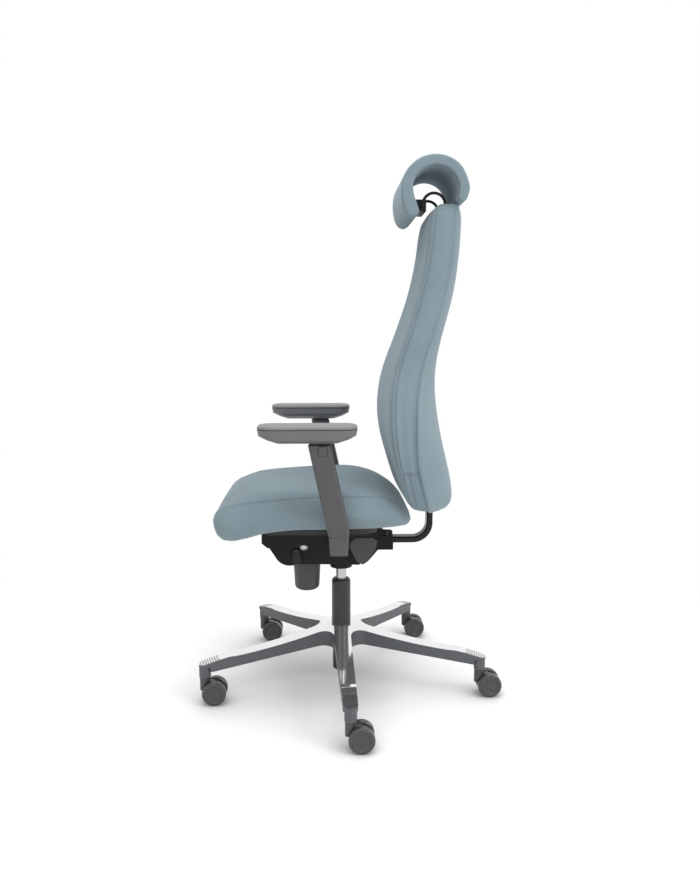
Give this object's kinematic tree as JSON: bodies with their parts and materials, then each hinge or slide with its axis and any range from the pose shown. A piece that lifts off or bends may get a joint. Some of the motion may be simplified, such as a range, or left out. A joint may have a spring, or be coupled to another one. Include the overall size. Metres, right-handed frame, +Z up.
{
  "type": "office chair",
  "caption": "High-backed upholstered swivel chair on a polished star base with twin-wheel casters, gas lift, synchronous tilt, adjustable arms and a hook-shaped neck roll.",
  "frame": {"origin": "on the floor, on the axis of the lift column", "axes": "+Z up, -Y the way the chair faces, +X to the sitter's left"},
  "size_m": [0.7222, 0.7653, 1.338],
  "materials": {
    "upholstery": "matte",
    "polished_aluminium": "polished",
    "black_enamel": "gloss",
    "black_steel": "satin",
    "chrome": "polished",
    "bright_steel": "satin",
    "black_nylon": "matte",
    "grey_nylon": "satin",
    "caster_grey": "satin",
    "warm_grey": "matte",
    "arm_soft": "matte",
    "plywood": "satin",
    "guide_plastic": "satin"
  },
  "bodies": {
    "base": {"base_star": "polished_aluminium", "column_tube": "black_enamel", "column_guide": "guide_plastic", "piston_rod": "bright_steel", "column_clip": "bright_steel", "caster_stems": "bright_steel"},
    "caster_1": {"caster_1_fork": "caster_grey"},
    "caster_1_left": {"caster_1_wheel_left": "caster_grey"},
    "caster_1_right": {"caster_1_wheel_right": "caster_grey"},
    "caster_2": {"caster_2_fork": "caster_grey"},
    "caster_2_left": {"caster_2_wheel_left": "caster_grey"},
    "caster_2_right": {"caster_2_wheel_right": "caster_grey"},
    "caster_3": {"caster_3_fork": "caster_grey"},
    "caster_3_left": {"caster_3_wheel_left": "caster_grey"},
    "caster_3_right": {"caster_3_wheel_right": "caster_grey"},
    "caster_4": {"caster_4_fork": "caster_grey"},
    "caster_4_left": {"caster_4_wheel_left": "caster_grey"},
    "caster_4_right": {"caster_4_wheel_right": "caster_grey"},
    "caster_5": {"caster_5_fork": "caster_grey"},
    "caster_5_left": {"caster_5_wheel_left": "caster_grey"},
    "caster_5_right": {"caster_5_wheel_right": "caster_grey"},
    "lift": {"gas_cylinder": "chrome"},
    "release": {"release_pin": "bright_steel"},
    "mechanism": {"mechanism_pan": "black_steel", "pivot_shafts": "chrome", "tilt_spring": "bright_steel"},
    "tension": {"tension_knob": "grey_nylon", "tension_bolt": "bright_steel"},
    "height_handle": {"height_lever": "black_steel", "height_grip": "grey_nylon"},
    "tilt_handle": {"tilt_lever": "black_nylon"},
    "back_carrier": {"back_carrier": "black_steel", "carrier_covers": "grey_nylon", "back_bar": "black_enamel", "carrier_screws": "bright_steel", "link_shaft": "bright_steel"},
    "seat_frame": {"seat_frame": "black_steel", "arm_brackets": "black_steel", "bracket_screws": "bright_steel", "arm_sleeve_left": "warm_grey", "arm_sleeve_right": "warm_grey"},
    "seat": {"seat_slider": "black_nylon", "seat_board": "plywood", "seat_cushion": "upholstery"},
    "arm_left": {"arm_post_left": "black_nylon"},
    "arm_pad_left": {"arm_tray_left": "warm_grey", "arm_pad_left": "arm_soft"},
    "arm_release_left": {"arm_button_left": "black_nylon"},
    "arm_right": {"arm_post_right": "black_nylon"},
    "arm_pad_right": {"arm_tray_right": "warm_grey", "arm_pad_right": "arm_soft"},
    "arm_release_right": {"arm_button_right": "black_nylon"},
    "backrest": {"back_cushion": "upholstery", "back_shell": "upholstery", "back_sleeve": "black_nylon", "headrest_guides": "black_nylon"},
    "headrest_mast": {"headrest_rods": "black_enamel"},
    "headrest": {"headrest_clamp": "black_nylon", "headrest_cushion": "upholstery"}
  },
  "joints": [
    {"name": "caster_1_swivel", "type": "hinge", "parent": "base", "child": "caster_1", "pos_m": [0.36578, 0.01277, 0.0675], "axis": [0, 0, 1], "continuous": true},
    {"name": "caster_1_roll_left", "type": "hinge", "parent": "caster_1", "child": "caster_1_left", "pos_m": [0.38328, 0.03677, 0.03], "axis": [1, 0, 0], "continuous": true},
    {"name": "caster_1_roll_right", "type": "hinge", "parent": "caster_1", "child": "caster_1_right", "pos_m": [0.34828, 0.03677, 0.03], "axis": [1, 0, 0], "continuous": true},
    {"name": "caster_2_swivel", "type": "hinge", "parent": "base", "child": "caster_2", "pos_m": [0.10088, 0.35182, 0.0675], "axis": [0, 0, 1], "continuous": true},
    {"name": "caster_2_roll_left", "type": "hinge", "parent": "caster_2", "child": "caster_2_left", "pos_m": [0.11838, 0.37582, 0.03], "axis": [1, 0, 0], "continuous": true},
    {"name": "caster_2_roll_right", "type": "hinge", "parent": "caster_2", "child": "caster_2_right", "pos_m": [0.08338, 0.37582, 0.03], "axis": [1, 0, 0], "continuous": true},
    {"name": "caster_3_swivel", "type": "hinge", "parent": "base", "child": "caster_3", "pos_m": [-0.30343, 0.20467, 0.0675], "axis": [0, 0, 1], "continuous": true},
    {"name": "caster_3_roll_left", "type": "hinge", "parent": "caster_3", "child": "caster_3_left", "pos_m": [-0.28593, 0.22867, 0.03], "axis": [1, 0, 0], "continuous": true},
    {"name": "caster_3_roll_right", "type": "hinge", "parent": "caster_3", "child": "caster_3_right", "pos_m": [-0.32093, 0.22867, 0.03], "axis": [1, 0, 0], "continuous": true},
    {"name": "caster_4_swivel", "type": "hinge", "parent": "base", "child": "caster_4", "pos_m": [-0.28841, -0.22533, 0.0675], "axis": [0, 0, 1], "continuous": true},
    {"name": "caster_4_roll_left", "type": "hinge", "parent": "caster_4", "child": "caster_4_left", "pos_m": [-0.27091, -0.20133, 0.03], "axis": [1, 0, 0], "continuous": true},
    {"name": "caster_4_roll_right", "type": "hinge", "parent": "caster_4", "child": "caster_4_right", "pos_m": [-0.30591, -0.20133, 0.03], "axis": [1, 0, 0], "continuous": true},
    {"name": "caster_5_swivel", "type": "hinge", "parent": "base", "child": "caster_5", "pos_m": [0.12518, -0.34393, 0.0675], "axis": [0, 0, 1], "continuous": true},
    {"name": "caster_5_roll_left", "type": "hinge", "parent": "caster_5", "child": "caster_5_left", "pos_m": [0.14268, -0.31993, 0.03], "axis": [1, 0, 0], "continuous": true},
    {"name": "caster_5_roll_right", "type": "hinge", "parent": "caster_5", "child": "caster_5_right", "pos_m": [0.10768, -0.31993, 0.03], "axis": [1, 0, 0], "continuous": true},
    {"name": "lift_slide", "type": "slide", "parent": "base", "child": "lift", "axis": [0, 0, 1], "range_m": [-0.02, 0.1]},
    {"name": "release_press", "type": "slide", "parent": "lift", "child": "release", "axis": [0, 0, -1], "range_m": [0, 0.0041], "stiffness_N_per_m": 2000, "springref_m": -0.002},
    {"name": "seat_swivel", "type": "hinge", "parent": "lift", "child": "mechanism", "pos_m": [0, 0, 0.33], "axis": [0, 0, 1], "continuous": true},
    {"name": "tension_turn", "type": "hinge", "parent": "mechanism", "child": "tension", "pos_m": [0, -0.0895, 0.29], "axis": [0, 0, 1], "continuous": true},
    {"name": "height_lift", "type": "hinge", "parent": "mechanism", "child": "height_handle", "pos_m": [-0.076, 0, 0.363], "axis": [0, 1, 0], "range_deg": [0, 3], "stiffness_Nm_per_rad": 4},
    {"name": "tilt_lock", "type": "hinge", "parent": "mechanism", "child": "tilt_handle", "pos_m": [0.086, -0.114, 0.374], "axis": [-1, 0, 0], "range_deg": [0, 25]},
    {"name": "recline", "type": "hinge", "parent": "mechanism", "child": "back_carrier", "pos_m": [0, 0.038, 0.388], "axis": [-1, 0, 0], "range_deg": [0, 22], "stiffness_Nm_per_rad": 80, "springref_deg": -25.78},
    {"name": "seat_tilt", "type": "hinge", "parent": "mechanism", "child": "seat_frame", "pos_m": [0, -0.095, 0.392], "axis": [-1, 0, 0], "range_deg": [0, 7.3]},
    {"name": "seat_depth", "type": "slide", "parent": "seat_frame", "child": "seat", "axis": [0, -1, 0], "range_m": [0, 0.05]},
    {"name": "arm_height_left", "type": "slide", "parent": "seat_frame", "child": "arm_left", "axis": [0, -0.1977, 0.9803], "range_m": [0, 0.08]},
    {"name": "pad_depth_left", "type": "slide", "parent": "arm_left", "child": "arm_pad_left", "axis": [0, -1, 0], "range_m": [-0.03, 0.03]},
    {"name": "arm_press_left", "type": "slide", "parent": "seat_frame", "child": "arm_release_left", "axis": [-1, 0, 0], "range_m": [0, 0.002], "stiffness_N_per_m": 800, "springref_m": -0.001},
    {"name": "arm_height_right", "type": "slide", "parent": "seat_frame", "child": "arm_right", "axis": [0, -0.1977, 0.9803], "range_m": [0, 0.08]},
    {"name": "pad_depth_right", "type": "slide", "parent": "arm_right", "child": "arm_pad_right", "axis": [0, -1, 0], "range_m": [-0.03, 0.03]},
    {"name": "arm_press_right", "type": "slide", "parent": "seat_frame", "child": "arm_release_right", "axis": [1, 0, 0], "range_m": [0, 0.002], "stiffness_N_per_m": 800, "springref_m": -0.001},
    {"name": "back_height", "type": "slide", "parent": "back_carrier", "child": "backrest", "axis": [0, 0, 1], "range_m": [0, 0.05]},
    {"name": "headrest_height", "type": "slide", "parent": "backrest", "child": "headrest_mast", "axis": [0, 0.1132, 0.9936], "range_m": [0, 0.06]},
    {"name": "headrest_tilt", "type": "hinge", "parent": "headrest_mast", "child": "headrest", "pos_m": [0, 0.19817, 1.22806], "axis": [1, 0, 0], "range_deg": [0, 25]}
  ],
  "couplings": [
    {"joint": "seat_tilt", "follows": "recline", "ratio": 0.33},
    {"joint": "release_press", "follows": "height_lift", "m_per_rad": 0.076}
  ]
}
